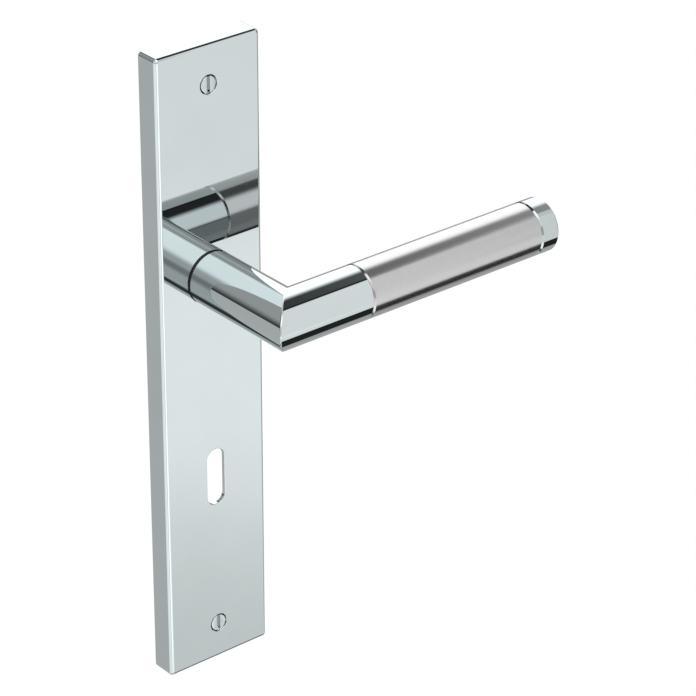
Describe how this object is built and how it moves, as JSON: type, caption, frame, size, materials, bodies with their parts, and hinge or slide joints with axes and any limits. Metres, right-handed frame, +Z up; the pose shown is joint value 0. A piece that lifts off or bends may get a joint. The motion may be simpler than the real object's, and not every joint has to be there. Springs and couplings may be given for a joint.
{
  "type": "lever door handle on a long plate",
  "caption": "Round mitred lever door handle on a long hollow plate with a keyhole, a satin grip sleeve between polished ends, a square spindle socket and a spring return.",
  "frame": {"origin": "where the lever's axis meets the door face, at the back of the plate", "axes": "+X along the lever, +Y into the door, +Z up the plate; the lever stands out towards -Y"},
  "size_m": [0.1256, 0.0708, 0.22],
  "materials": {
    "polished_chrome": "polished chrome plate",
    "satin_steel": "fine satin, turned round the lever",
    "screw_chrome": "chrome plate, slotted head",
    "black_nylon": "moulded, fine grain",
    "spring_steel": "dark oiled steel, square wire on the spring",
    "zinc_plated_steel": "bright zinc plate"
  },
  "bodies": {
    "plate": {"cover_plate": "polished_chrome", "support_plate": "black_nylon", "bearing_bush": "black_nylon", "return_spring": "spring_steel", "fixing_screws": "screw_chrome"},
    "lever": {"lever_elbow": "polished_chrome", "grip_sleeve": "satin_steel", "end_cap": "polished_chrome", "spindle_grub_screw": "spring_steel", "spring_driver": "zinc_plated_steel", "retaining_ring": "spring_steel"}
  },
  "joints": [
    {"name": "lever_turn", "type": "hinge", "parent": "plate", "child": "lever", "pos_m": [0, 0, 0], "axis": [0, 1, 0], "range_deg": [0, 42], "stiffness_Nm_per_rad": 0.125, "springref_deg": -74.48, "deforming": ["return_spring"]}
  ]
}
